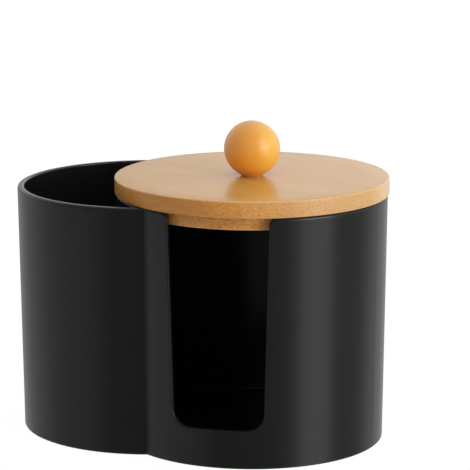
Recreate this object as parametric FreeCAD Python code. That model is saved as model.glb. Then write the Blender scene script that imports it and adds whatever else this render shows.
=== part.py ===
"""Cotton swab holder: a moulded double cup and a bamboo lid with a ball knob.

Millimetres, +Z up. The origin is on the surface that the holder stands on, at the middle of
the whole object's plan. +X runs along the two cups, from the swab cup to the pad cup, and the
pad cup's window slot faces -Y, turned a little towards +X.
"""
import FreeCAD
import Part
import math
import os

from FreeCAD import Vector

# Moulded body: two overlapping cups with a little draft
BODY_HEIGHT = 65.0
PAD_CUP_TOP_RADIUS = 35.4
PAD_CUP_BASE_RADIUS = 34.5
SWAB_CUP_TOP_RADIUS = 34.8
SWAB_CUP_BASE_RADIUS = 33.7
CUP_SPACING = 29.9
WALL = 1.8
FLOOR_TOP = 2.8
CREASE_RADIUS = 0.4
RIM_OUTER_RADIUS = 0.85
RIM_INNER_RADIUS = 0.45
EDGE_RADIUS = 0.35
BASE_EDGE_RADIUS = 0.5
FLOOR_CORNER_RADIUS = 1.0
CRESCENT_TIP_RADIUS = 1.5

# Underside: a narrow foot rim round a shallow recess
FOOT_WIDTH = 2.4
FOOT_RECESS = 0.8

# Window slot in the pad cup's front wall, open at the rim and a little narrower below. It is
# turned about the cup's axis, in degrees, away from the swab cup
SLOT_TURN = 8.95
SLOT_TOP_HALF_WIDTH = 13.3
SLOT_BASE_HALF_WIDTH = 11.6
SLOT_BOTTOM = 10.0
SLOT_CORNER_RADIUS = 4.3
SLOT_MOUTH_RADIUS = 1.6

# Lid: two bamboo discs glued face to face
LID_DISC_RADIUS = 35.8
LID_DISC_THICKNESS = 4.4
LID_PLUG_RADIUS = 32.6
LID_PLUG_THICKNESS = 3.6
LID_TOP_EDGE_RADIUS = 0.35
LID_LOWER_EDGE_RADIUS = 0.5

# Ball knob on a small flat foot
BALL_RADIUS = 7.3
BALL_CENTRE_HEIGHT = 7.1
BALL_FOOT_RADIUS = 2.6

# Countersunk wood screw, driven from below into the ball
SCREW_RADIUS = 1.5
SCREW_LENGTH = 16.0
SCREW_HEAD_RADIUS = 3.0
SCREW_HEAD_LIP = 0.3
SCREW_SINK = 0.2
SCREW_TIP = 2.0
SCREW_TIP_RADIUS = 0.3
SCREW_HOLE_RADIUS = 1.6
RECESS_LENGTH = 3.2
RECESS_WIDTH = 0.8
RECESS_DEPTH = 1.4

# Places that follow from the sizes above
PAD_AXIS_X = (SWAB_CUP_TOP_RADIUS + CUP_SPACING - LID_DISC_RADIUS) / 2
SWAB_AXIS_X = PAD_AXIS_X - CUP_SPACING
PLUG_BOTTOM = BODY_HEIGHT - LID_PLUG_THICKNESS
LID_TOP = BODY_HEIGHT + LID_DISC_THICKNESS

# How far a cutting shape runs past what it cuts, and how close counts as the same place
PAST = 5.0
CLOSE = 0.01


def cup(axis_x, base_radius, top_radius, inset=0.0, bottom=0.0, top=BODY_HEIGHT):
    """A cup's drafted round solid between two heights, drawn in by inset on the radius."""
    slope = (top_radius - base_radius) / BODY_HEIGHT
    low = base_radius - inset + slope * bottom
    high = base_radius - inset + slope * top
    return Part.makeCone(low, high, top - bottom, Vector(axis_x, 0, bottom))


def pad_cup(inset=0.0, bottom=0.0, top=BODY_HEIGHT):
    """The pad cup's round solid."""
    return cup(PAD_AXIS_X, PAD_CUP_BASE_RADIUS, PAD_CUP_TOP_RADIUS, inset, bottom, top)


def swab_cup(inset=0.0, bottom=0.0, top=BODY_HEIGHT):
    """The swab cup's round solid."""
    return cup(SWAB_AXIS_X, SWAB_CUP_BASE_RADIUS, SWAB_CUP_TOP_RADIUS, inset, bottom, top)


def samples(edge):
    """Five points spread along an edge."""
    first, last = edge.FirstParameter, edge.LastParameter
    return [edge.valueAt(first + (last - first) * share / 4) for share in range(5)]


def edges_where(shape, test):
    """The shape's edges whose sampled points all pass the test."""
    return [edge for edge in shape.Edges if all(test(point) for point in samples(edge))]


def at_height(height):
    """A test for points that lie at one height."""
    return lambda point: abs(point.z - height) < CLOSE


def upright_edges(shape):
    """The edges that climb the full height of a shape away from the cups' seams."""
    box = shape.BoundBox
    return [
        edge
        for edge in shape.Edges
        if edge.BoundBox.ZLength > 0.9 * box.ZLength and abs(edge.CenterOfMass.y) > WALL
    ]


def outer_form():
    """Both cups as one solid, with the two upright creases where they meet slightly eased."""
    solid = pad_cup().fuse(swab_cup())
    return solid.makeFillet(CREASE_RADIUS, upright_edges(solid))


def pad_hollow():
    """The round space that the pads are stacked in."""
    hollow = pad_cup(WALL, FLOOR_TOP, BODY_HEIGHT + PAST)
    return hollow.makeFillet(FLOOR_CORNER_RADIUS, edges_where(hollow, at_height(FLOOR_TOP)))


def swab_hollow():
    """The crescent that the swabs stand in: the swab cup's inside, less the pad cup."""
    hollow = swab_cup(WALL, FLOOR_TOP, BODY_HEIGHT + PAST)
    hollow = hollow.cut(pad_cup(0.0, 0.0, BODY_HEIGHT + 2 * PAST))
    hollow = hollow.makeFillet(CRESCENT_TIP_RADIUS, upright_edges(hollow))
    return hollow.makeFillet(FLOOR_CORNER_RADIUS, edges_where(hollow, at_height(FLOOR_TOP)))


def slot_half_width(height):
    """Half the window slot's width at one height."""
    growth = (SLOT_TOP_HALF_WIDTH - SLOT_BASE_HALF_WIDTH) / BODY_HEIGHT
    return SLOT_BASE_HALF_WIDTH + growth * height


def window_slot():
    """The block that cuts the window slot through the pad cup's front wall."""
    front = -PAD_CUP_TOP_RADIUS - PAST
    depth = PAST + PAD_CUP_TOP_RADIUS / 2
    top = BODY_HEIGHT + PAST
    corners = [
        Vector(PAD_AXIS_X - slot_half_width(top), front, top),
        Vector(PAD_AXIS_X - slot_half_width(SLOT_BOTTOM), front, SLOT_BOTTOM),
        Vector(PAD_AXIS_X + slot_half_width(SLOT_BOTTOM), front, SLOT_BOTTOM),
        Vector(PAD_AXIS_X + slot_half_width(top), front, top),
    ]
    outline = Part.makePolygon(corners + corners[:1])
    block = Part.Face(outline).extrude(Vector(0, depth, 0))
    lower = [e for e in edges_where(block, at_height(SLOT_BOTTOM)) if e.BoundBox.YLength > WALL]
    block = block.makeFillet(SLOT_CORNER_RADIUS, lower)
    return block.rotated(Vector(PAD_AXIS_X, 0, 0), Vector(0, 0, 1), SLOT_TURN)


def from_slot(point):
    """How far a point is from the slot's middle, sideways, and from the cup's axis, outwards."""
    turn = math.radians(SLOT_TURN)
    x, y = point.x - PAD_AXIS_X, point.y
    sideways = x * math.cos(turn) + y * math.sin(turn)
    outwards = x * math.sin(turn) - y * math.cos(turn)
    return sideways, outwards


def mouth_edges(body):
    """The two short edges across the wall where the slot's sides meet the rim."""
    reach = slot_half_width(BODY_HEIGHT) + CLOSE

    def across_wall(edge):
        places = [from_slot(point) for point in samples(edge)]
        sideways = [side for side, _ in places]
        straight = max(sideways) - min(sideways) < CLOSE
        return straight and abs(sideways[0]) < reach and places[0][1] > 0

    return [edge for edge in edges_where(body, at_height(BODY_HEIGHT)) if across_wall(edge)]


def rim_edges(body):
    """The outer and inner edges of the rim and, in line with them, of the window slot."""
    reach = slot_half_width(BODY_HEIGHT) + SLOT_MOUTH_RADIUS + CLOSE

    def on_outline(point):
        sideways, outwards = from_slot(point)
        level = abs(point.z - BODY_HEIGHT) < CLOSE
        in_slot = abs(sideways) < reach and point.z > SLOT_BOTTOM - CLOSE
        return level or (in_slot and outwards > PAD_CUP_BASE_RADIUS / 2)

    def along_wall(edge):
        spans = [math.hypot(p.x - PAD_AXIS_X, p.y) for p in samples(edge)]
        level = all(abs(p.z - BODY_HEIGHT) < CLOSE for p in samples(edge))
        return level and edge.Length > 2 * WALL or max(spans) - min(spans) < WALL / 2

    return [edge for edge in edges_where(body, on_outline) if along_wall(edge)]


def underside_recess():
    """The shallow space inside the foot rim."""
    inset = FOOT_WIDTH
    return pad_cup(inset, 0.0, FOOT_RECESS).fuse(swab_cup(inset, 0.0, FOOT_RECESS))


def outside_both_cups(point):
    """Whether a point on the rim lies on the holder's outside, and not on a hollow's edge."""
    from_pad_axis = math.hypot(point.x - PAD_AXIS_X, point.y)
    from_swab_axis = math.hypot(point.x - SWAB_AXIS_X, point.y)
    off_pad_hollow = from_pad_axis > PAD_CUP_TOP_RADIUS - WALL / 2
    return off_pad_hollow and from_swab_axis > SWAB_CUP_TOP_RADIUS - WALL / 2


def rounding_at(point):
    """How far the wall's edge is rounded at one place: most on the rim's outside."""
    if point.z < BODY_HEIGHT - CLOSE:
        return EDGE_RADIUS
    return RIM_OUTER_RADIUS if outside_both_cups(point) else RIM_INNER_RADIUS


def rounded_rim(body):
    """The body with its rim rounded over, which fades at the slot's mouth into eased edges."""
    document = FreeCAD.newDocument()
    plain = document.addObject("Part::Feature", "PlainBody")
    plain.Shape = body
    rounded = document.addObject("Part::Fillet", "RoundedBody")
    rounded.Base = plain
    chosen = rim_edges(body)
    rounded.Edges = [
        (number, rounding_at(samples(edge)[0]), rounding_at(samples(edge)[-1]))
        for number, edge in enumerate(body.Edges, 1)
        if any(edge.isSame(other) for other in chosen)
    ]
    document.recompute()
    return rounded.Shape


def holder_body():
    """The one-piece moulding: outer form, two hollows, window slot, foot and eased edges."""
    body = outer_form()
    body = body.cut(pad_hollow())
    body = body.cut(swab_hollow())
    body = body.cut(window_slot())
    body = body.makeFillet(SLOT_MOUTH_RADIUS, mouth_edges(body))
    body = body.makeFillet(BASE_EDGE_RADIUS, edges_where(body, at_height(0.0)))
    body = body.cut(underside_recess())
    return rounded_rim(body)


def screw_hole(bottom, top):
    """The clearance hole for the screw's shank between two heights."""
    return Part.makeCylinder(SCREW_HOLE_RADIUS, top - bottom, Vector(PAD_AXIS_X, 0, bottom))


def screw_profile():
    """The screw's half section, from the middle of its head to its tip, on the lid's axis."""
    head = PLUG_BOTTOM + SCREW_SINK
    cone_top = head + SCREW_HEAD_LIP + SCREW_HEAD_RADIUS - SCREW_RADIUS
    tip = head + SCREW_LENGTH
    points = [
        (0.0, head),
        (SCREW_HEAD_RADIUS, head),
        (SCREW_HEAD_RADIUS, head + SCREW_HEAD_LIP),
        (SCREW_RADIUS, cone_top),
        (SCREW_RADIUS, tip - SCREW_TIP),
        (SCREW_TIP_RADIUS, tip),
        (0.0, tip),
    ]
    return [Vector(PAD_AXIS_X + radius, 0, height) for radius, height in points]


def turned(outline):
    """A solid turned about the lid's axis from a closed half section."""
    return Part.Face(outline).revolve(Vector(PAD_AXIS_X, 0, 0), Vector(0, 0, 1), 360)


def screw_blank():
    """The screw before its cross recess is struck."""
    points = screw_profile()
    return turned(Part.makePolygon(points + points[:1]))


def lid_disc():
    """The upper disc, which lies on the pad cup's rim."""
    centre = Vector(PAD_AXIS_X, 0, BODY_HEIGHT)
    disc = Part.makeCylinder(LID_DISC_RADIUS, LID_DISC_THICKNESS, centre)
    disc = disc.makeFillet(LID_TOP_EDGE_RADIUS, edges_where(disc, at_height(LID_TOP)))
    disc = disc.makeFillet(LID_LOWER_EDGE_RADIUS, edges_where(disc, at_height(BODY_HEIGHT)))
    return disc.cut(screw_hole(BODY_HEIGHT - PAST, LID_TOP + PAST))


def lid_plug():
    """The lower disc, which drops into the pad cup, countersunk for the screw's head."""
    centre = Vector(PAD_AXIS_X, 0, PLUG_BOTTOM)
    plug = Part.makeCylinder(LID_PLUG_RADIUS, LID_PLUG_THICKNESS, centre)
    plug = plug.makeFillet(LID_LOWER_EDGE_RADIUS, edges_where(plug, at_height(PLUG_BOTTOM)))
    plug = plug.cut(screw_hole(PLUG_BOTTOM - PAST, BODY_HEIGHT + PAST))
    mouth = Part.makeCylinder(SCREW_HEAD_RADIUS, SCREW_SINK, centre)
    return plug.cut(mouth).cut(screw_blank())


def ball_knob():
    """The ball with its tangent foot, and the blind hole that the screw cuts its thread in."""
    centre = Vector(PAD_AXIS_X, 0, LID_TOP + BALL_CENTRE_HEIGHT)
    to_centre = math.hypot(BALL_FOOT_RADIUS, BALL_CENTRE_HEIGHT)
    side = math.sqrt(to_centre**2 - BALL_RADIUS**2)
    lean = math.atan2(BALL_CENTRE_HEIGHT, -BALL_FOOT_RADIUS) - math.asin(BALL_RADIUS / to_centre)
    foot_middle = Vector(PAD_AXIS_X, 0, LID_TOP)
    foot_edge = Vector(PAD_AXIS_X + BALL_FOOT_RADIUS, 0, LID_TOP)
    touch = foot_edge + Vector(math.cos(lean), 0, math.sin(lean)) * side
    widest = centre + Vector(BALL_RADIUS, 0, 0)
    crown = centre + Vector(0, 0, BALL_RADIUS)
    outline = Part.Wire(
        [
            Part.makeLine(foot_middle, foot_edge),
            Part.makeLine(foot_edge, touch),
            Part.Arc(touch, widest, crown).toShape(),
            Part.makeLine(crown, foot_middle),
        ]
    )
    return turned(outline).cut(screw_blank())


def knob_screw():
    """The countersunk screw with a cross recess in its head."""
    head = PLUG_BOTTOM + SCREW_SINK
    screw = screw_blank()
    for length, width in ((RECESS_LENGTH, RECESS_WIDTH), (RECESS_WIDTH, RECESS_LENGTH)):
        corner = Vector(PAD_AXIS_X - length / 2, -width / 2, head)
        screw = screw.cut(Part.makeBox(length, width, RECESS_DEPTH, corner))
    return screw


def write_parts():
    """Builds each piece and writes it as its own STEP file."""
    os.makedirs("parts", exist_ok=True)
    for build in (holder_body, lid_disc, lid_plug, ball_knob, knob_screw):
        shape = build()
        shape.exportStep(os.path.join("parts", build.__name__ + ".step"))
        box = shape.BoundBox
        print(
            f"{build.__name__}: {len(shape.Solids)} solid, valid {shape.isValid()}, "
            f"{box.XLength:.2f} x {box.YLength:.2f} x {box.ZLength:.2f} mm, "
            f"{shape.Volume / 1000:.2f} cm3"
        )


write_parts()
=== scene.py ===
"""Cotton swab holder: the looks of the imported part, and the studio that it is shown in.

The black double cup and the knob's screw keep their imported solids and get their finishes. The
bamboo lid's two discs and its ball knob are modelled here with bmesh, ride on the lid's body and
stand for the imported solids. Sizes are in millimetres in the classes and in metres in the meshes,
in the part's own frame: +X from the swab cup to the pad cup, the window slot towards -Y, +Z up,
and the origin on the floor.
"""

import logging
import math
from collections.abc import Iterable, Sequence
from dataclasses import dataclass, field
from enum import Enum
from typing import TypeVar

import bmesh
import bpy
from mathutils import Matrix, Vector

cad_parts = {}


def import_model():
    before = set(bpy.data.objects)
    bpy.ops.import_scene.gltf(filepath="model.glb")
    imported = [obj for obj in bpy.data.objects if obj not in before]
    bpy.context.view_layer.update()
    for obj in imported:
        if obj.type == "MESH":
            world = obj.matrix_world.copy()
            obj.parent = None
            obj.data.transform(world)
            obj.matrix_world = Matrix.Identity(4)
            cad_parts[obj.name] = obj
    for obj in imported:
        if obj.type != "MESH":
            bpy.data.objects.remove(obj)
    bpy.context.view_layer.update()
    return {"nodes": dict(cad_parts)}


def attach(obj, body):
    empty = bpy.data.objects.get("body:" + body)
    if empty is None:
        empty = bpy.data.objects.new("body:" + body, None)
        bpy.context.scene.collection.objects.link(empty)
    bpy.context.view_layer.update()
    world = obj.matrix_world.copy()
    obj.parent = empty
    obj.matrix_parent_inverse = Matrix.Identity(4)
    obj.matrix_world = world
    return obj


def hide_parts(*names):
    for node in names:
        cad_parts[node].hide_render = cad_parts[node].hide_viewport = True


LOG = logging.getLogger("swab_holder")
MM = 0.001

Colour = tuple[float, float, float]
Pair = tuple[float, float]
Triple = tuple[float, float, float]
Edges = list[bmesh.types.BMEdge]
Item = TypeVar("Item")

WHITE: Colour = (1.0, 1.0, 1.0)

# Corners that lie nearer to each other than this are one corner, in metres
SAME_CORNER = 1e-7


class Body(Enum):
    """The bodies that pieces ride on."""

    HOLDER = "holder"
    LID = "lid"


class Slot(Enum):
    """Names of material slots that the new pieces carry; nothing here assigns them."""

    BAMBOO = "bamboo"
    KNOB = "knob_wood"


class Ray(Enum):
    """The kinds of ray that a backdrop can answer, by the name of Light Path's output."""

    CAMERA = "Is Camera Ray"
    GLOSSY = "Is Glossy Ray"
    TRANSMISSION = "Is Transmission Ray"


# Shader maths


def grey(level: float) -> Colour:
    """A colour without a hue."""
    return (level, level, level)


@dataclass(frozen=True)
class Signal:
    """A node's output socket, with which shader maths is written as Python expressions."""

    bench: "Bench"
    socket: bpy.types.NodeSocket | None

    def maths(self, operation: str, *others: "float | Signal", clamp: bool = False) -> "Signal":
        """Adds a Math node with this signal first.

        Args:
            operation: The Math node's operation.
            others: The values or signals of the other sockets.
            clamp: Whether the result is held between 0 and 1.

        Returns:
            The Math node's result.
        """
        settings = {"operation": operation, "use_clamp": clamp}
        return self.bench.node("ShaderNodeMath", settings, dict(enumerate((self, *others))))

    def flipped(self, operation: str, first: "float | Signal") -> "Signal":
        """Adds a Math node with this signal second.

        Args:
            operation: The Math node's operation.
            first: The value or signal of the first socket.

        Returns:
            The Math node's result.
        """
        return self.bench.node("ShaderNodeMath", {"operation": operation}, {0: first, 1: self})

    def __add__(self, other: "float | Signal") -> "Signal":
        """This plus other."""
        return self.maths("ADD", other)

    def __radd__(self, other: "float | Signal") -> "Signal":
        """Other plus this."""
        return self.flipped("ADD", other)

    def __sub__(self, other: "float | Signal") -> "Signal":
        """This less other."""
        return self.maths("SUBTRACT", other)

    def __rsub__(self, other: "float | Signal") -> "Signal":
        """Other less this."""
        return self.flipped("SUBTRACT", other)

    def __mul__(self, other: "float | Signal") -> "Signal":
        """This times other."""
        return self.maths("MULTIPLY", other)

    def __rmul__(self, other: "float | Signal") -> "Signal":
        """Other times this."""
        return self.flipped("MULTIPLY", other)

    def __truediv__(self, other: "float | Signal") -> "Signal":
        """This divided by other."""
        return self.maths("DIVIDE", other)

    def __rtruediv__(self, other: "float | Signal") -> "Signal":
        """Other divided by this."""
        return self.flipped("DIVIDE", other)

    def __pow__(self, other: "float | Signal") -> "Signal":
        """This to the power of other."""
        return self.maths("POWER", other)

    def __abs__(self) -> "Signal":
        """This without its sign."""
        return self.maths("ABSOLUTE")


class Bench:
    """A node tree that is being built, and the one method that adds nodes to it."""

    def __init__(self, tree: bpy.types.NodeTree) -> None:
        """Clears a tree and keeps it.

        Args:
            tree: The material's or world's node tree.
        """
        self.tree = tree
        self.tree.nodes.clear()

    def node(
        self,
        kind: str,
        settings: dict[str, object] | None = None,
        sockets: dict[str | int, object] | None = None,
        output: str | int = 0,
    ) -> Signal:
        """Adds a node, sets it up and links it.

        Args:
            kind: The node's type, such as ShaderNodeTexNoise.
            settings: The node's own settings. A ramp's stops are given as "stops".
            sockets: Values or signals by the input socket's name or number.
            output: The name or number of the output that is wanted.

        Returns:
            That output, as a signal.
        """
        node = self.tree.nodes.new(kind)
        for name, value in (settings or {}).items():
            if name == "stops":
                self._set_stops(node.color_ramp, value)
            else:
                setattr(node, name, value)
        for name, value in (sockets or {}).items():
            socket = node.inputs[name]
            if isinstance(value, Signal):
                self.tree.links.new(value.socket, socket)
            elif isinstance(value, tuple) and len(value) == 3 and socket.type == "RGBA":
                socket.default_value = (*value, 1.0)
            else:
                socket.default_value = value
        return Signal(self, node.outputs[output] if len(node.outputs) else None)

    @staticmethod
    def _set_stops(ramp: bpy.types.ColorRamp, stops: Sequence[tuple[float, Colour]]) -> None:
        """Gives a colour ramp its stops.

        Args:
            ramp: The ramp, which has two stops at first.
            stops: The place and the colour of each stop, in order.
        """
        while len(ramp.elements) < len(stops):
            ramp.elements.new(1.0)
        for element, (place, colour) in zip(ramp.elements, stops, strict=True):
            element.position = place
            element.color = (*colour, 1.0)

    def vectors(
        self, operation: str, first: object, second: object, output: str | int = 0
    ) -> Signal:
        """Adds a Vector Math node.

        Args:
            operation: The node's operation.
            first: The first vector or signal.
            second: The second one.
            output: The name or number of the output that is wanted.

        Returns:
            That output, as a signal.
        """
        sockets = {0: first, 1: second}
        return self.node("ShaderNodeVectorMath", {"operation": operation}, sockets, output)

    def mixed(
        self, share: float | Signal, first: object, second: object, way: str = "MIX"
    ) -> Signal:
        """Mixes two colours.

        Args:
            share: How much of the second colour there is.
            first: A colour or a signal.
            second: A colour or a signal.
            way: The Mix node's blend type.

        Returns:
            The mixed colour.
        """
        settings = {"data_type": "RGBA", "blend_type": way}
        return self.node("ShaderNodeMix", settings, {0: share, 6: first, 7: second}, 2)

    def coordinates(self, centre: Vector | Triple, turn: float, scale: Triple) -> Signal:
        """Object coordinates, centred on a point, turned about +Z and scaled.

        Args:
            centre: The point that becomes the pattern's origin, in metres.
            turn: How far the pattern is turned about +Z, in radians.
            scale: How many times each axis repeats in a metre.

        Returns:
            The coordinates as a vector.
        """
        place = self.node("ShaderNodeTexCoord", None, None, "Object")
        moved = self.vectors("SUBTRACT", place, centre)
        sockets = {"Vector": moved, "Rotation": (0.0, 0.0, -turn)}
        turned = self.node("ShaderNodeMapping", {"vector_type": "POINT"}, sockets)
        return self.vectors("MULTIPLY", turned, scale)

    def evenly(self, repeats: float, start: Triple = (0.0, 0.0, 0.0)) -> Signal:
        """Object coordinates at one scale.

        Args:
            repeats: How many times the pattern repeats in a metre.
            start: The point that becomes the pattern's origin, in metres.

        Returns:
            The coordinates as a vector.
        """
        return self.coordinates(start, 0.0, (repeats, repeats, repeats))

    def axes(self, vector: Signal) -> tuple[Signal, Signal, Signal]:
        """The three parts of a vector.

        Args:
            vector: The vector that is taken apart.

        Returns:
            Its x, y and z.
        """
        parts = self.node("ShaderNodeSeparateXYZ", None, {0: vector})
        node = parts.socket.node
        return tuple(Signal(self, node.outputs[name]) for name in ("X", "Y", "Z"))

    def noise(self, vector: Signal, detail: float = 2.0, roughness: float = 0.5) -> Signal:
        """Soft noise at the vector's own scale.

        Args:
            vector: The coordinates.
            detail: How many finer layers are added.
            roughness: How strong the finer layers are.

        Returns:
            The noise, from 0 to 1 with a mean of a half.
        """
        sockets = {"Vector": vector, "Scale": 1.0, "Detail": detail, "Roughness": roughness}
        return self.node("ShaderNodeTexNoise", {"noise_dimensions": "3D"}, sockets, "Fac")

    def between(self, value: Signal, low: float, high: float) -> Signal:
        """A smooth step.

        Args:
            value: The signal that is stepped.
            low: Where the step starts, at 0.
            high: Where it ends, at 1.

        Returns:
            The step, from 0 to 1.
        """
        settings = {"interpolation_type": "SMOOTHSTEP", "clamp": True}
        return self.node("ShaderNodeMapRange", settings, {0: value, 1: low, 2: high})

    def graded(self, value: Signal, levels: Sequence[Pair]) -> Signal:
        """A grey that follows a table.

        Args:
            value: What the table is read at.
            levels: The table's values and the levels there.

        Returns:
            The grey.
        """
        low, high = levels[0][0], levels[-1][0]
        stops = [((at - low) / (high - low), grey(level)) for at, level in levels]
        place = (value - low) / (high - low)
        return self.node("ShaderNodeValToRGB", {"stops": stops}, {0: place})

    def rays(self, *kinds: Ray) -> Signal:
        """Whether a ray is one of some kinds.

        Args:
            kinds: The kinds of ray.

        Returns:
            1 for those rays, and 0 for others.
        """
        names = (kind.value for kind in kinds)
        total, *others = (self.node("ShaderNodeLightPath", None, None, name) for name in names)
        for other in others:
            total = total.maths("MAXIMUM", other)
        return total

    def bump(self, height: Signal, depth_mm: float, under: Signal | None = None) -> Signal:
        """A normal that follows a height.

        Args:
            height: The height, from 0 to 1.
            depth_mm: How high 1 is, in millimetres.
            under: The normal that the height is added to, if not the surface's own.

        Returns:
            The normal.
        """
        sockets = {"Height": height, "Distance": depth_mm * MM, "Strength": 1.0}
        if under is not None:
            sockets["Normal"] = under
        return self.node("ShaderNodeBump", None, sockets)

    def surface(self, sockets: dict[str, object]) -> None:
        """Adds the Principled shader and the material's output.

        Args:
            sockets: The shader's values and signals by socket.
        """
        shader = self.node("ShaderNodeBsdfPrincipled", None, sockets)
        self.node("ShaderNodeOutputMaterial", None, {"Surface": shader})


# Finishes


def new_material(name: str) -> tuple[bpy.types.Material, Bench]:
    """Starts a material.

    Args:
        name: The material's name.

    Returns:
        The material, and the bench that its nodes are made on.
    """
    material = bpy.data.materials.new(name)
    material.use_nodes = True
    return material, Bench(material.node_tree)


@dataclass(frozen=True)
class MouldedPlastic:
    """Black plastic from a finely sanded mould: an even satin with a faint waviness."""

    colour: Colour = (0.0074, 0.0074, 0.0076)
    lightest: float = 1.35
    roughness: float = 0.25
    patchiness: float = 0.02
    grain_roughness: float = 0.04
    specular: float = 0.5
    grain_mm: float = 0.22
    grain_depth_mm: float = 0.0012
    wave_mm: float = 17.0
    wave_depth_mm: float = 0.010
    cloud_repeats: float = 180.0
    cloud_start: Triple = (0.3, 0.1, 0.2)

    def material(self) -> bpy.types.Material:
        """The finish as a material.

        Returns:
            The material.
        """
        material, bench = new_material("moulded_black_plastic")
        fine = bench.noise(bench.evenly(1 / (self.grain_mm * MM)), detail=2.0)
        broad = bench.noise(bench.evenly(1 / (self.wave_mm * MM)), detail=1.0)
        cloud = bench.noise(bench.evenly(self.cloud_repeats, self.cloud_start), detail=3.0)
        patches = (cloud - 0.5) * (2 * self.patchiness)
        lightest = tuple(self.lightest * part for part in self.colour)
        grain = bench.bump(fine, self.grain_depth_mm)
        bench.surface(
            {
                "Base Color": bench.mixed(cloud, self.colour, lightest),
                "Roughness": self.roughness + patches + (fine - 0.5) * self.grain_roughness,
                "Specular IOR Level": self.specular,
                "Normal": bench.bump(broad, self.wave_depth_mm, grain),
            }
        )
        return material


@dataclass(frozen=True)
class Bamboo:
    """Lacquered bamboo: glued strips of long fibres, flecked by the fibre bundles' cut ends.

    A field that ends in repeats says how often a pattern repeats in a metre along the fibres and,
    where it has a second number, across them. One that ends in step says where a smooth step
    starts and where it ends.
    """

    name: str
    grain_turn: float
    radius_mm: float
    top_mm: float
    bottom_mm: float

    pale: Colour = (0.735, 0.392, 0.090)
    deep: Colour = (0.565, 0.283, 0.062)
    side_pale: Colour = (0.70, 0.315, 0.073)
    side_deep: Colour = (0.44, 0.170, 0.025)
    opened: Colour = (0.90, 0.430, 0.115)
    cut_end: Colour = (0.47, 0.335, 0.180)
    # Painted sheen: a whitish colour laid on one stretch of the disc's side
    painted_sheen: Colour = (0.90, 0.720, 0.520)
    bundle: Colour = (0.27, 0.110, 0.030)
    # Painted highlight: a pale colour that the eased edges are given
    edge_highlight: Colour = (0.84, 0.55, 0.30)

    # The strips, and the seam of glue between two of them
    strip_mm: float = 6.4
    strip_start: float = 0.37
    strip_wander: float = 0.06
    wander_repeats: Pair = (22.0, 40.0)
    strip_seed: Pair = (7.31, 2.7)
    glue_step: Pair = (0.5, 0.485)

    # The fibres, and the bundles that they stand in
    fibre_mm: float = 0.28
    fibre_repeats: float = 70.0
    finer_layers: float = 0.6
    streak_repeats: Pair = (45.0, 700.0)
    cloud_repeats: Pair = (140.0, 260.0)
    fleck_mm: float = 0.34
    fleck_stretch: float = 3.2
    lit_fleck_step: Pair = (0.60, 0.40)
    bundle_mm: float = 0.54
    bundle_length_mm: float = 30.0
    bundle_scatter: float = 0.95
    bundle_step: Pair = (0.58, 0.12)

    # The places on a disc: in millimetres inwards from its outlines, or as shares of its radius
    side_step: Pair = (0.35, 0.05)
    opened_step: Pair = (0.05, 0.90)
    # Where the painted sheen lies, in millimetres along and across the fibres
    end_step: Pair = (0.46, 0.98)
    sheen_along_step: Pair = (0.0, 10.0)
    sheen_across_step: Pair = (0.0, 12.0)
    eased_out_step: Pair = (0.45, 0.15)
    eased_up_step: Pair = (0.40, 0.12)
    # Where the painted edge highlight is strongest: a direction towards the camera's side, and a
    # step along it
    highlight_facing_way: Pair = (0.58, 0.81)
    highlight_facing_step: Pair = (0.88, 0.98)

    # How strong each pattern is
    strip_share: float = 0.12
    streak_share: float = 0.75
    fibre_share: float = 0.15
    cloud_share: float = 0.6
    shade_drop: float = 0.04
    face_flecks: float = 0.35
    side_flecks: float = 0.5
    opened_flecks: float = 1.6
    opened_share: float = 0.60
    opened_contrast: float = 0.50
    end_share: float = 0.6
    # How strong the painted sheen is
    sheen_share: float = 0.30
    bundle_share: float = 0.14
    opened_bundle_share: float = 0.13
    glue_share: float = 0.15
    # How strong the painted highlight on the eased edges is, everywhere and towards the camera
    edge_highlight_share: float = 0.26
    facing_highlight_share: float = 0.30
    roughness: float = 0.25
    fibre_roughness: float = 0.05
    bundle_roughness: float = 0.02
    relief_mm: float = 0.0025

    def _laid(self, bench: Bench, centre: Vector, along: float, across: float) -> Signal:
        """Coordinates along the fibres, across them and upwards.

        Args:
            bench: The bench that the nodes are made on.
            centre: The lid's middle.
            along: How often the pattern repeats in a metre along the fibres.
            across: How often it repeats in a metre across them.

        Returns:
            The coordinates as a vector.
        """
        return bench.coordinates(centre, self.grain_turn, (along, across, across))

    def _places(self, bench: Bench, centre: Vector) -> tuple[Signal, ...]:
        """Where the disc's side is, how it cuts the fibres, and where its edges are sanded.

        Args:
            bench: The bench that the nodes are made on.
            centre: The lid's middle.

        Returns:
            Five masks: the side, where it begins to open the fibres, where it cuts across them, a
            stretch of that with a painted sheen, and the eased edges with a painted highlight,
            strongest on the side towards the camera.
        """
        x, y, z = bench.axes(self._laid(bench, centre, 1 / MM, 1 / MM))
        span = (x**2.0 + y**2.0).maths("SQRT")
        side = bench.between(span, *(self.radius_mm - inwards for inwards in self.side_step))
        along = abs(x) / self.radius_mm
        opened = side * bench.between(along, *self.opened_step)
        end = side * bench.between(along, *self.end_step)
        # A painted sheen on the cut end, on one side of the disc only
        sheen = end * bench.between(y, *self.sheen_across_step) * bench.between(x, *self.sheen_along_step)
        half = (self.top_mm - self.bottom_mm) / 2
        off_middle = abs(z - (self.top_mm + self.bottom_mm) / 2)
        # The painted highlight on the eased edges, strongest on the side towards the camera
        out = bench.between(span, *(self.radius_mm - inwards for inwards in self.eased_out_step))
        facing = (x * self.highlight_facing_way[0] - y * self.highlight_facing_way[1]) / self.radius_mm
        highlight_strength = bench.between(facing, *self.highlight_facing_step) * self.facing_highlight_share + self.edge_highlight_share
        up = bench.between(off_middle, *(half - inwards for inwards in self.eased_up_step))
        return side, opened, end, sheen, out * up * highlight_strength

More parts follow.
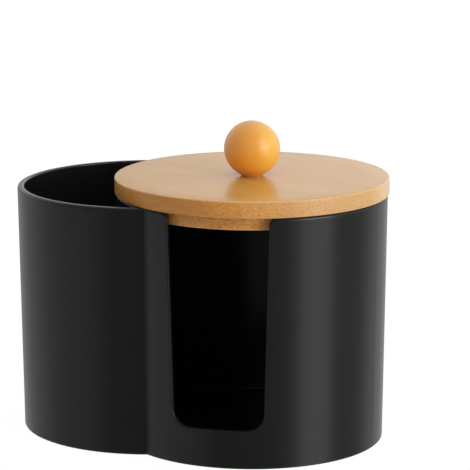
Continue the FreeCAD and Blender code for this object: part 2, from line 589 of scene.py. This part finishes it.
    def _bundles(self, bench: Bench, centre: Vector) -> Signal:
        """The dark bundles of fibres, as dots with long tails.

        Args:
            bench: The bench that the nodes are made on.
            centre: The lid's middle.

        Returns:
            1 in a bundle, and 0 between them.
        """
        repeats = 1 / (self.bundle_length_mm * MM), 1 / (self.bundle_mm * MM)
        sockets = {
            "Vector": self._laid(bench, centre, *repeats),
            "Scale": 1.0,
            "Randomness": self.bundle_scatter,
        }
        settings = {"voronoi_dimensions": "3D", "feature": "F1"}
        bundles = bench.node("ShaderNodeTexVoronoi", settings, sockets, "Distance")
        return bench.between(bundles, *self.bundle_step)

    def material(self, centre: Vector) -> bpy.types.Material:
        """The finish as a material.

        Args:
            centre: The lid's middle, which the pattern is centred on.

        Returns:
            The material.
        """
        material, bench = new_material(self.name)
        _, across, _ = bench.axes(self._laid(bench, centre, 1.0, 1.0))
        wander = bench.noise(self._laid(bench, centre, *self.wander_repeats), detail=1.0)
        place = across / (self.strip_mm * MM) + self.strip_start + wander * self.strip_wander
        strip = place.maths("FLOOR")
        seed = {"W": strip * self.strip_seed[0] + self.strip_seed[1]}
        strip_tone = bench.node("ShaderNodeTexWhiteNoise", {"noise_dimensions": "1D"}, seed)
        glue = 1 - bench.between(abs(place - strip - 0.5), *self.glue_step)

        fibre_laid = self._laid(bench, centre, self.fibre_repeats, 1 / (self.fibre_mm * MM))
        fibres = bench.noise(fibre_laid, detail=3.0, roughness=self.finer_layers)
        streak = bench.noise(self._laid(bench, centre, *self.streak_repeats))
        fleck_repeats = 1 / (self.fleck_stretch * self.fleck_mm * MM), 1 / (self.fleck_mm * MM)
        fleck = bench.noise(self._laid(bench, centre, *fleck_repeats), roughness=self.finer_layers)
        cloud = bench.noise(self._laid(bench, centre, *self.cloud_repeats))
        dots = self._bundles(bench, centre)
        side, opened, end, sheen, painted_edge_highlight = self._places(bench, centre)

        contrast = self.face_flecks + side * self.side_flecks + opened * self.opened_flecks
        shade = strip_tone * self.strip_share + streak * self.streak_share
        shade = shade + fibres * self.fibre_share + (fleck - 0.5) * contrast
        shade = shade + (cloud - 0.5) * self.cloud_share - self.shade_drop
        shade = shade.maths("MULTIPLY", 1.0, clamp=True)
        face = bench.mixed(shade, self.pale, self.deep)
        wood = bench.mixed(side, face, bench.mixed(shade, self.side_pale, self.side_deep))
        lit = bench.between(fleck, *self.lit_fleck_step)
        opening = self.opened_share + (lit - 0.5) * self.opened_contrast
        wood = bench.mixed(opened * opening, wood, self.opened)
        wood = bench.mixed(end * self.end_share, wood, self.cut_end)
        # Painted sheen on one stretch of the side
        wood = bench.mixed(sheen * self.sheen_share, wood, self.painted_sheen)
        bundle_share = self.bundle_share + opened * self.opened_bundle_share
        wood = bench.mixed(dots * bundle_share, wood, self.bundle)
        wood = bench.mixed(glue * self.glue_share, wood, self.deep)
        gloss = self.roughness + (fibres - 0.5) * self.fibre_roughness
        height = fibres * 0.5 + (1 - dots) * 0.5
        bench.surface(
            {
                # Painted highlight along the eased edges
                "Base Color": bench.mixed(painted_edge_highlight, wood, self.edge_highlight),
                "Roughness": gloss + dots * self.bundle_roughness,
                "Normal": bench.bump(height, self.relief_mm),
            }
        )
        return material


@dataclass(frozen=True)
class HoneyLacquer:
    """A turned ball's honey-coloured lacquer, thick enough to nearly hide the wood's rings, with
    painted light: yellower on its lit side and redder on its shaded side.
    """

    # Lit and shaded copies of the lacquer: the first colour is painted on the lit side, the redder
    # second on the shaded side
    colour: Colour = (0.775, 0.458, 0.070)
    shaded_side: Colour = (0.93, 0.370, 0.042)
    ring: Colour = (0.78, 0.310, 0.028)
    # A pale colour mixed into the foot's lowest part
    pale_foot: Colour = (0.80, 0.52, 0.28)
    turn: float = 0.6
    # Where the painted lit side gives way to the painted shaded side
    lit_side_lean: float = 0.3
    lit_side_step_mm: Pair = (-6.0, 4.0)
    foot_step_mm: Pair = (-6.40, -6.80)
    pale_foot_share: float = 0.6
    ring_mm: float = 1.6
    pith_off_mm: Pair = (9.0, 4.0)
    wander_mm: float = 1.8
    wander_repeats: Triple = (110.0, 110.0, 60.0)
    fibre_repeats: Triple = (2600.0, 2600.0, 160.0)
    ring_share: float = 0.14
    fibre_share: float = 0.16
    least_shade: float = 0.1
    roughness: float = 0.38
    fibre_roughness: float = 0.05
    coat: float = 0.9
    coat_roughness: float = 0.30
    relief_mm: float = 0.002

    def material(self, centre: Vector) -> bpy.types.Material:
        """The finish as a material.

        Args:
            centre: The ball's middle.

        Returns:
            The material.
        """
        material, bench = new_material("honey_lacquer")
        x, y, z = bench.axes(bench.coordinates(centre, self.turn, (1.0, 1.0, 1.0)))
        wander = bench.noise(bench.coordinates(centre, self.turn, self.wander_repeats))
        fibre = bench.noise(bench.coordinates(centre, self.turn, self.fibre_repeats))
        # 1 on the painted lit side, 0 on the painted shaded side
        lit_side = bench.between(x + y * self.lit_side_lean, *(at * MM for at in self.lit_side_step_mm))
        foot = bench.between(z, *(at * MM for at in self.foot_step_mm))
        off_x, off_y = (off * MM for off in self.pith_off_mm)
        radius = ((x + off_x) ** 2.0 + (y - off_y) ** 2.0).maths("SQRT")
        turns = (radius + wander * (self.wander_mm * MM)) * (2 * math.pi / (self.ring_mm * MM))
        rings = turns.maths("SINE") * 0.5 + 0.5
        shade = rings * self.ring_share + fibre * self.fibre_share + self.least_shade
        # Painted light and shade: yellower lacquer on the lit side, redder on the shaded side
        honey = bench.mixed(shade, bench.mixed(lit_side, self.shaded_side, self.colour), self.ring)
        bench.surface(
            {
                # Paler in the foot's lowest part
                "Base Color": bench.mixed(foot * self.pale_foot_share, honey, self.pale_foot),
                "Roughness": self.roughness + (fibre - 0.5) * self.fibre_roughness,
                "Coat Weight": self.coat,
                "Coat Roughness": self.coat_roughness,
                "Normal": bench.bump(fibre, self.relief_mm),
            }
        )
        return material


@dataclass(frozen=True)
class ZincPlate:
    """Bright zinc plating, a little cloudy."""

    colour: Colour = (0.56, 0.57, 0.58)
    dull: Colour = (0.42, 0.43, 0.45)
    roughness: float = 0.30
    cloud_roughness: float = 0.16
    cloud_repeats: float = 900.0
    grain_repeats: float = 9000.0
    grain_depth_mm: float = 0.001

    def material(self) -> bpy.types.Material:
        """The finish as a material.

        Returns:
            The material.
        """
        material, bench = new_material("zinc_plate")
        cloud = bench.noise(bench.evenly(self.cloud_repeats), detail=3.0)
        fine = bench.noise(bench.evenly(self.grain_repeats), detail=1.0)
        bench.surface(
            {
                "Base Color": bench.mixed(cloud, self.colour, self.dull),
                "Metallic": 1.0,
                "Roughness": self.roughness + (cloud - 0.5) * self.cloud_roughness,
                "Normal": bench.bump(fine, self.grain_depth_mm),
            }
        )
        return material


# Mesh making


def millimetres(x: float, y: float, z: float) -> Vector:
    """A point given in millimetres, in metres."""
    return Vector((x, y, z)) * MM


def only(kind: type[Item], items: Iterable[object]) -> list[Item]:
    """The items of one kind.

    Args:
        kind: The kind, such as BMVert.
        items: What a bmesh operator gave back.

    Returns:
        The items of that kind, in their order.
    """
    return [item for item in items if isinstance(item, kind)]


def ridge_edges(mesh: bmesh.types.BMesh, sharper_than: float) -> Edges:
    """The edges at which two faces meet sharply.

    Args:
        mesh: The mesh that is searched.
        sharper_than: The least angle between the faces' normals, in radians.

    Returns:
        The edges.
    """
    pairs = (edge for edge in mesh.edges if len(edge.link_faces) == 2)
    return [edge for edge in pairs if edge.calc_face_angle() > sharper_than]


def eased(mesh: bmesh.types.BMesh, edges: Edges, radius: float, segments: int) -> None:
    """Rounds edges.

    Args:
        mesh: The mesh that the edges are in.
        edges: The edges.
        radius: How far the rounding reaches, in millimetres.
        segments: How many faces it has.
    """
    bmesh.ops.bevel(
        mesh,
        geom=edges,
        offset=radius * MM,
        offset_type="OFFSET",
        segments=segments,
        profile=0.5,
        affect="EDGES",
        material=-1,
    )


def spun(outline: Sequence[Pair], axis_x: float, steps: int) -> bmesh.types.BMesh:
    """Turns a closed half section about the lid's upright axis.

    Args:
        outline: The half section's points, as radius and height in millimetres.
        axis_x: Where the axis stands, in millimetres.
        steps: How many faces there are round the axis.

    Returns:
        The turned mesh.
    """
    mesh = bmesh.new()
    points = (millimetres(axis_x + radius, 0.0, height) for radius, height in outline)
    corners = [mesh.verts.new(point) for point in points]
    for first, second in zip(corners, corners[1:] + corners[:1]):
        mesh.edges.new((first, second))
    bmesh.ops.spin(
        mesh,
        geom=mesh.verts[:] + mesh.edges[:],
        cent=millimetres(axis_x, 0.0, 0.0),
        axis=(0.0, 0.0, 1.0),
        angle=2 * math.pi,
        steps=steps,
        use_merge=True,
    )
    bmesh.ops.remove_doubles(mesh, verts=mesh.verts[:], dist=SAME_CORNER)
    bmesh.ops.recalc_face_normals(mesh, faces=mesh.faces[:])
    return mesh


def drawn(
    mesh: bmesh.types.BMesh, edges: Edges, space: Matrix, share: float, rise: float = 0.0
) -> Edges:
    """Draws an open ring of edges on to a new ring about the same axis.

    Args:
        mesh: The mesh that the ring is in.
        edges: The ring that is open.
        space: The matrix that brings the axis to the origin.
        share: How wide the new ring is against the last.
        rise: How far up it lies, in millimetres.

    Returns:
        The new ring's edges.
    """
    grown = bmesh.ops.extrude_edge_only(mesh, edges=edges)["geom"]
    corners = only(bmesh.types.BMVert, grown)
    bmesh.ops.scale(mesh, vec=(share, share, 1.0), space=space, verts=corners)
    bmesh.ops.translate(mesh, vec=millimetres(0.0, 0.0, rise), verts=corners)
    return only(bmesh.types.BMEdge, grown)


def put_in_scene(name: str, data: bpy.types.ID) -> bpy.types.Object:
    """Makes an object of a mesh, a camera or a lamp, and links it to the scene.

    Args:
        name: The object's name.
        data: Its mesh, camera or lamp.

    Returns:
        The object.
    """
    placed = bpy.data.objects.new(name, data)
    bpy.context.scene.collection.objects.link(placed)
    return placed


@dataclass
class Piece:
    """A finished mesh and what it stands for."""

    name: str
    mesh: bmesh.types.BMesh
    node: str
    body: Body
    slot: Slot
    material: bpy.types.Material
    sharp: float = math.radians(35.0)

    def place(self) -> None:
        """Makes the piece's object, dresses it and lets it ride on its body."""
        data = bpy.data.meshes.new(self.name)
        for face in self.mesh.faces:
            face.smooth = True
        for edge in ridge_edges(self.mesh, self.sharp):
            edge.smooth = False
        self.mesh.to_mesh(data)
        self.mesh.free()
        data.materials.append(self.material)
        piece = put_in_scene(self.name, data)
        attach(piece, self.body.value)
        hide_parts(self.node)
        LOG.info("%s: %d faces, rides on %s", self.name, len(data.polygons), self.body.value)


# The holder's own sub-assemblies


@dataclass
class PackedPiece:
    """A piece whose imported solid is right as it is, and only gets its finish."""

    node: str
    body: Body
    finish: MouldedPlastic | ZincPlate

    def dress(self, nodes: dict[str, bpy.types.Object]) -> None:
        """Gives the piece its finish.

        Args:
            nodes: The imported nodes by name.
        """
        data = nodes[self.node].data
        data.materials.clear()
        data.materials.append(self.finish.material())
        faces = len(data.polygons)
        LOG.info("%s: %d packed faces, rides on %s", self.node, faces, self.body.value)


@dataclass
class DoubleCup(PackedPiece):
    """The one-piece black moulding."""

    node: str = "holder_body"
    body: Body = Body.HOLDER
    finish: MouldedPlastic = field(default_factory=MouldedPlastic)


@dataclass
class KnobScrew(PackedPiece):
    """The countersunk screw that holds the ball knob from below."""

    node: str = "knob_screw"
    body: Body = Body.LID
    finish: ZincPlate = field(default_factory=ZincPlate)


@dataclass
class BambooLid:
    """The lid's two bamboo discs: one lies on the rim, and one drops into the pad cup."""

    axis_x: float = 14.45
    rim_height: float = 65.0
    disc_radius: float = 35.79
    disc_thickness: float = 4.4
    disc_top_edge: float = 0.35
    disc_top_edge_faces: int = 5
    plug_radius: float = 32.6
    plug_thickness: float = 3.6
    lower_edge: float = 0.5
    lower_edge_faces: int = 4
    hole_radius: float = 1.6
    countersink_radius: float = 3.0
    countersink_depth: float = 0.5
    steps: int = 192
    rings: tuple[float, ...] = (2.6, 6.0, 11.0, 17.0, 23.0, 29.0)
    disc_turn: float = math.radians(-11.0)
    plug_turn: float = math.radians(19.0)
    rim_sharpness: float = 1.0
    rim_closeness: float = 0.05

    @property
    def top(self) -> float:
        """The height of the lid's upper face."""
        return self.rim_height + self.disc_thickness

    def centre(self) -> Vector:
        """The middle of the face where the two discs meet."""
        return millimetres(self.axis_x, 0.0, self.rim_height)

    def _disc(self) -> bmesh.types.BMesh:
        """The upper disc: rings grown outwards from the screw's hole, pulled up and eased.

        Returns:
            The disc's mesh.
        """
        mesh = bmesh.new()
        middle = Matrix.Translation(self.centre())
        bmesh.ops.create_circle(
            mesh,
            cap_ends=False,
            segments=self.steps,
            radius=self.hole_radius * MM,
            matrix=middle,
        )
        last = self.hole_radius
        edges = mesh.edges[:]
        for radius in (*self.rings, self.disc_radius):
            edges = drawn(mesh, edges, middle.inverted(), radius / last)
            last = radius
        flat = mesh.faces[:]
        raised = bmesh.ops.extrude_face_region(mesh, geom=flat, use_keep_orig=True)["geom"]
        corners = only(bmesh.types.BMVert, raised)
        bmesh.ops.translate(mesh, vec=millimetres(0.0, 0.0, self.disc_thickness), verts=corners)
        bmesh.ops.recalc_face_normals(mesh, faces=mesh.faces[:])
        upper = self._rim(mesh, self.disc_radius, self.top)
        eased(mesh, upper, self.disc_top_edge, self.disc_top_edge_faces)
        lower = self._rim(mesh, self.disc_radius, self.rim_height)
        eased(mesh, lower, self.lower_edge, self.lower_edge_faces)
        return mesh

    def _rim(self, mesh: bmesh.types.BMesh, radius: float, height: float) -> Edges:
        """The sharp edges round a disc at one height.

        Args:
            mesh: The disc's mesh.
            radius: The disc's radius.
            height: The height of the edges.

        Returns:
            The edges.
        """

        def on_rim(vert: bmesh.types.BMVert) -> bool:
            """Whether a corner lies on the rim.

            Args:
                vert: The corner.

            Returns:
                True if it does.
            """
            span = math.hypot(vert.co.x - self.axis_x * MM, vert.co.y)
            off = max(abs(span - radius * MM), abs(vert.co.z - height * MM))
            return off < self.rim_closeness * MM

        ridges = ridge_edges(mesh, self.rim_sharpness)
        return [edge for edge in ridges if all(on_rim(vert) for vert in edge.verts)]

    def _plug(self) -> bmesh.types.BMesh:
        """The lower disc: a half section with the countersink, turned and eased.

        Returns:
            The disc's mesh.
        """
        bottom = self.rim_height - self.plug_thickness
        sink = bottom + self.countersink_depth
        cone = sink + self.countersink_radius - self.hole_radius
        outline = [
            (self.hole_radius, self.rim_height),
            (self.plug_radius, self.rim_height),
            (self.plug_radius, bottom),
            *((radius, bottom) for radius in reversed(self.rings[1:])),
            (self.countersink_radius, bottom),
            (self.countersink_radius, sink),
            (self.hole_radius, cone),
        ]
        mesh = spun(outline, self.axis_x, self.steps)
        lower = self._rim(mesh, self.plug_radius, bottom)
        eased(mesh, lower, self.lower_edge, self.lower_edge_faces)
        return mesh

    def build(self) -> None:
        """Makes both discs."""
        disc_finish = Bamboo(
            name="bamboo_disc",
            grain_turn=self.disc_turn,
            radius_mm=self.disc_radius,
            top_mm=self.disc_thickness,
            bottom_mm=0.0,
        )
        plug_finish = Bamboo(
            name="bamboo_plug",
            grain_turn=self.plug_turn,
            radius_mm=self.plug_radius,
            top_mm=0.0,
            bottom_mm=-self.plug_thickness,
            side_pale=(0.76, 0.355, 0.094),
            side_deep=(0.50, 0.195, 0.038),
            opened=(0.72, 0.330, 0.086),
            side_flecks=2.4,
            # The plug's lower edge gets a stronger painted highlight
            edge_highlight_share=0.85,
        )
        for finish, make, node in (
            (disc_finish, self._disc, "lid_disc"),
            (plug_finish, self._plug, "lid_plug"),
        ):
            material = finish.material(self.centre())
            Piece(finish.name, make(), node, Body.LID, Slot.BAMBOO, material).place()


@dataclass
class BallKnob:
    """The turned ball on its small flat foot, bored for the screw."""

    axis_x: float = 14.45
    lid_top: float = 69.4
    radius: float = 7.3
    centre_height: float = 7.1
    foot_radius: float = 2.6
    bore_radius: float = 1.5
    bore_depth: float = 8.5
    around: int = 96
    upwards: int = 72
    finish: HoneyLacquer = field(default_factory=HoneyLacquer)

    def middle(self) -> Vector:
        """The ball's centre."""
        return millimetres(self.axis_x, 0.0, self.lid_top + self.centre_height)

    def _touch(self) -> Pair:
        """Where the foot's cone touches the ball.

        Returns:
            The radius and the height above the lid, in millimetres.
        """
        to_centre = math.hypot(self.foot_radius, self.centre_height)
        side = math.sqrt(to_centre**2 - self.radius**2)
        upright = math.atan2(self.centre_height, -self.foot_radius)
        lean = upright - math.asin(self.radius / to_centre)
        return self.foot_radius + side * math.cos(lean), side * math.sin(lean)

    def _ball(self) -> bmesh.types.BMesh:
        """The ball: a sphere cut off low, drawn down to the foot, and bored from below.

        Returns:
            The ball's mesh.
        """
        touch_radius, touch_height = self._touch()
        mesh = bmesh.new()
        bmesh.ops.create_uvsphere(
            mesh,
            u_segments=self.around,
            v_segments=self.upwards,
            radius=self.radius * MM,
            matrix=Matrix.Translation(self.middle()),
        )
        cut = bmesh.ops.bisect_plane(
            mesh,
            geom=mesh.verts[:] + mesh.edges[:] + mesh.faces[:],
            plane_co=millimetres(0.0, 0.0, self.lid_top + touch_height),
            plane_no=(0.0, 0.0, -1.0),
            clear_outer=True,
        )
        edges = only(bmesh.types.BMEdge, cut["geom_cut"])
        steps = (
            (touch_radius, self.foot_radius, -touch_height),
            (self.foot_radius, self.bore_radius, 0.0),
            (self.bore_radius, self.bore_radius, self.bore_depth),
        )
        axis = Matrix.Translation(millimetres(-self.axis_x, 0.0, 0.0))
        for before, after, rise in steps:
            edges = drawn(mesh, edges, axis, after / before, rise)
        bmesh.ops.edgeloop_fill(mesh, edges=edges)
        bmesh.ops.recalc_face_normals(mesh, faces=mesh.faces[:])
        return mesh

    def build(self) -> None:
        """Makes the ball."""
        material = self.finish.material(self.middle())
        Piece("ball_knob_turned", self._ball(), "ball_knob", Body.LID, Slot.KNOB, material).place()


# The studio


@dataclass
class Camera:
    """The photograph's viewpoint."""

    stand: Triple = (304.945, -648.152, 202.761)
    aim: Triple = (10.420, -1.837, 53.512)
    lens: float = 212.67
    sensor: float = 36.0
    nearest_m: float = 0.01
    farthest_m: float = 20.0

    def build(self) -> None:
        """Makes the camera and hands it to the scene."""
        data = bpy.data.cameras.new("camera")
        data.lens = self.lens
        data.sensor_width = self.sensor
        data.clip_start = self.nearest_m
        data.clip_end = self.farthest_m
        camera = put_in_scene("camera", data)
        stand, aim = Vector(self.stand) * MM, Vector(self.aim) * MM
        camera.location = stand
        camera.rotation_mode = "QUATERNION"
        camera.rotation_quaternion = (aim - stand).to_track_quat("-Z", "Y")
        bpy.context.scene.camera = camera


@dataclass(frozen=True)
class Softbox:
    """A flat soft lamp, aimed at the holder. Its angles are in degrees, its sizes in metres."""

    name: str
    azimuth: float
    elevation: float
    width: float
    height: float
    watts: float
    distance: float = 1.0

    def build(self, aim: Vector) -> None:
        """Makes the lamp.

        Args:
            aim: The point that it lights.
        """
        turn, rise = math.radians(self.azimuth), math.radians(self.elevation)
        aside, ahead = math.sin(turn) * math.cos(rise), -math.cos(turn) * math.cos(rise)
        out = Vector((aside, ahead, math.sin(rise)))
        data = bpy.data.lights.new(self.name, "AREA")
        data.shape = "RECTANGLE"
        data.size = self.width
        data.size_y = self.height
        data.energy = self.watts
        lamp = put_in_scene(self.name, data)
        lamp.location = aim + out * self.distance
        lamp.rotation_mode = "QUATERNION"
        lamp.rotation_quaternion = (-out).to_track_quat("-Z", "Y")
        lamp.visible_camera = False
        lamp.visible_glossy = False


@dataclass(frozen=True)
class TallWindow:
    """The upright band of light that glossy surfaces mirror, and its fainter image on the floor.

    Its angles are in degrees: the first three about the upright axis, the next two upwards.
    """

    middle: float = 56.0
    half_width: float = 15.5
    soft: float = 3.0
    lowest: float = 0.5
    highest: float = 37.0
    soft_rise: float = 0.06
    above: float = 3.2
    below: float = 0.85

    def glow(self, bench: Bench, around: Signal, up: Signal) -> Signal:
        """How much light the band adds in a direction.

        Args:
            bench: The bench that the nodes are made on.
            around: The direction's angle from the front, in degrees, to the right.
            up: The direction's upward part.

        Returns:
            The added light.
        """
        outer, inner = self.half_width + self.soft, self.half_width - self.soft
        band = bench.between(abs(around - self.middle), outer, inner)
        low, high = (math.sin(math.radians(angle)) for angle in (self.lowest, self.highest))
        rising = bench.between(up, low - self.soft_rise, low + self.soft_rise)
        level = self.below + rising * (self.above - self.below)
        return band * level * bench.between(up, high + self.soft_rise, high - self.soft_rise)


@dataclass
class Studio:
    """The pale floor, the soft room and the two lamps.

    The walls' levels stand at degrees to the right of the camera's side. The ceiling's stand at
    shares of the way from the camera's side to the far one. A field that ends in step says between
    which upward parts of a direction one thing gives way to the next.
    """

    floor_radius_m: float = 3.0
    floor_sides: int = 96
    floor_colour: Colour = (0.55, 0.55, 0.55)
    floor_white: float = 1.06
    floor_share: float = 0.92
    front_azimuth: float = 24.5
    side_light: float = 0.42
    top_light: float = 0.84
    light_step: Pair = (0.0, 1.0)
    walls: tuple[Pair, ...] = (
        (-180, 0.60),
        (-172, 0.46),
        (-155, 0.50),
        (-142, 0.48),
        (-123, 0.50),
        (-115, 0.53),
        (-105, 0.49),
        (-92, 0.43),
        (-75, 0.40),
        (-59, 0.37),
        (-44, 0.27),
        (-32, 0.13),
        (-8, 0.14),
        (8, 0.13),
        (15, 0.13),
        (28, 0.21),
        (40, 0.27),
        (75, 0.27),
        (100, 0.25),
        (108, 0.31),
        (120, 0.56),
        (138, 0.57),
        (155, 0.60),
        (165, 0.66),
        (172, 0.70),
        (180, 0.60),
    )
    ceiling: tuple[Pair, ...] = (
        (-1.0, 0.12),
        (-0.3, 0.22),
        (0.0, 0.50),
        (0.3, 0.68),
        (0.6, 0.74),
        (0.85, 0.75),
        (0.93, 0.78),
        (0.965, 1.36),
        (1.0, 1.49),
    )
    ceiling_turn: float = 15.0
    ceiling_step: Pair = (-0.05, 0.25)
    ground: float = 0.45
    ground_step: Pair = (-0.45, -0.75)
    window: TallWindow = field(default_factory=TallWindow)
    lamps: tuple[Softbox, ...] = (
        Softbox("key", azimuth=76.0, elevation=8.0, width=0.6, height=0.4, watts=5.95),
        Softbox("side", azimuth=126.0, elevation=12.0, width=0.3, height=0.3, watts=2.8),
    )
    lamp_aim: Triple = (0.0, 0.0, 40.0)

    def _surroundings(self) -> None:
        """The world: even light on the object, a soft room in its gloss, white to the camera."""
        world = bpy.data.worlds.new("studio")
        bpy.context.scene.world = world
        world.use_nodes = True
        bench = Bench(world.node_tree)
        turn = math.radians(self.front_azimuth)
        front = (math.sin(turn), -math.cos(turn), 0.0)
        right = (math.cos(turn), math.sin(turn), 0.0)
        towards = bench.node("ShaderNodeTexCoord", None, None, "Generated")
        ahead = bench.vectors("DOT_PRODUCT", towards, front, "Value")
        aside = bench.vectors("DOT_PRODUCT", towards, right, "Value")
        around = aside.maths("ARCTAN2", ahead) * math.degrees(1.0)
        _, _, up = bench.axes(towards)
        tilt = math.radians(self.ceiling_turn)
        behind = aside * math.sin(tilt) - ahead * math.cos(tilt)
        walls, ceiling = bench.graded(around, self.walls), bench.graded(behind, self.ceiling)
        room = bench.mixed(bench.between(up, *self.ceiling_step), walls, ceiling)
        room = bench.mixed(bench.between(up, *self.ground_step), room, grey(self.ground))
        room = bench.mixed(1.0, room, self.window.glow(bench, around, up), "ADD")
        rising = bench.between(up, *self.light_step)
        light = bench.mixed(rising, grey(self.side_light), grey(self.top_light))
        light = bench.mixed(bench.rays(Ray.GLOSSY, Ray.TRANSMISSION), light, room)
        light = bench.mixed(bench.rays(Ray.CAMERA), light, WHITE)
        shell = bench.node("ShaderNodeBackground", None, {"Color": light, "Strength": 1.0})
        bench.node("ShaderNodeOutputWorld", None, {"Surface": shell})

    def _floor(self) -> None:
        """The floor: a wide pale disc, white to the camera, that keeps a faint shadow."""
        mesh = bmesh.new()
        bmesh.ops.create_circle(
            mesh, cap_ends=True, segments=self.floor_sides, radius=self.floor_radius_m
        )
        data = bpy.data.meshes.new("floor")
        mesh.to_mesh(data)
        mesh.free()
        floor = put_in_scene("floor", data)
        material, bench = new_material("pale_floor")
        seen = bench.rays(Ray.CAMERA, Ray.GLOSSY, Ray.TRANSMISSION) * self.floor_share
        lit = bench.node("ShaderNodeBsdfDiffuse", None, {"Color": self.floor_colour})
        glow = {"Color": WHITE, "Strength": self.floor_white}
        plain = bench.node("ShaderNodeEmission", None, glow)
        mixed = bench.node("ShaderNodeMixShader", None, {0: seen, 1: lit, 2: plain})
        bench.node("ShaderNodeOutputMaterial", None, {"Surface": mixed})
        data.materials.append(material)
        floor.visible_glossy = False

    def build(self) -> None:
        """Makes the floor, the surroundings and the lamps."""
        self._floor()
        self._surroundings()
        for lamp in self.lamps:
            lamp.build(millimetres(*self.lamp_aim))
        bpy.context.scene.view_settings.view_transform = "Standard"


def main() -> None:
    """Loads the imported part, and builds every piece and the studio."""
    logging.basicConfig(level=logging.INFO, format="%(name)s: %(message)s")
    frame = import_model()
    DoubleCup().dress(frame["nodes"])
    BambooLid().build()
    BallKnob().build()
    KnobScrew().dress(frame["nodes"])
    Studio().build()
    Camera().build()


if __name__ == "__main__":
    main()
